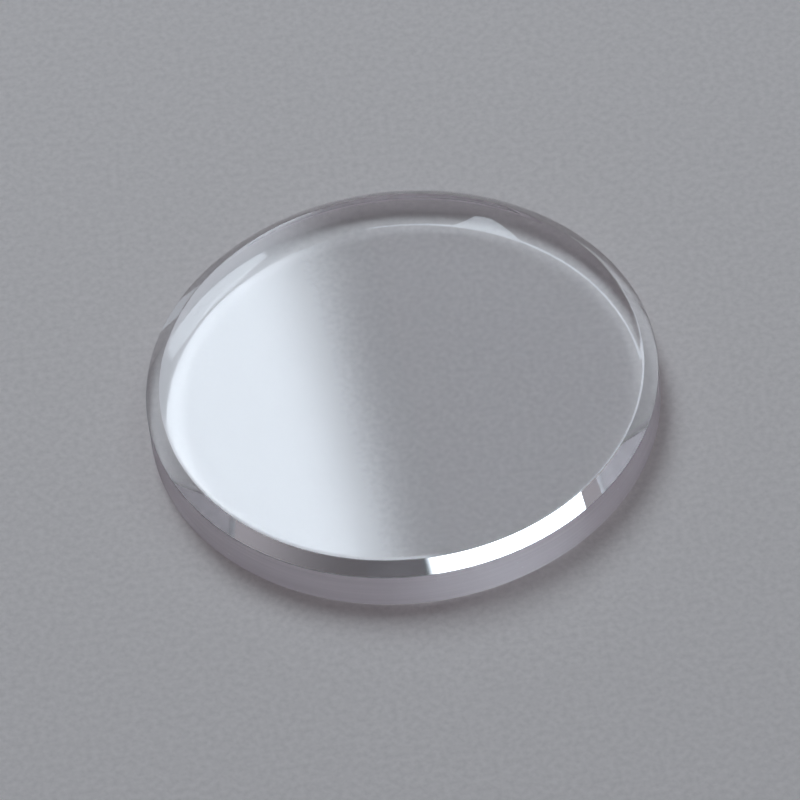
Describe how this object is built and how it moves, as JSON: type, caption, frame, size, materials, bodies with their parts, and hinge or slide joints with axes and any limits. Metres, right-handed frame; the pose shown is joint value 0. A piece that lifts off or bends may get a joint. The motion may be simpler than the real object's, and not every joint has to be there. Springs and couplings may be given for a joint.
{
  "type": "watch crystal",
  "caption": "Flat round clear sapphire watch crystal with a polished bevel round its front face and a ground side wall.",
  "frame": {"origin": "centre of the underside, which rests on the case's ledge", "axes": "+Z along the crystal's axis, from the underside to the front face, out of the watch"},
  "size_m": [0.0295, 0.0294, 0.003],
  "materials": {
    "sapphire": "clear and polished, with a finely ground side wall"
  },
  "bodies": {
    "root": {"crystal": "sapphire"}
  },
  "joints": []
}
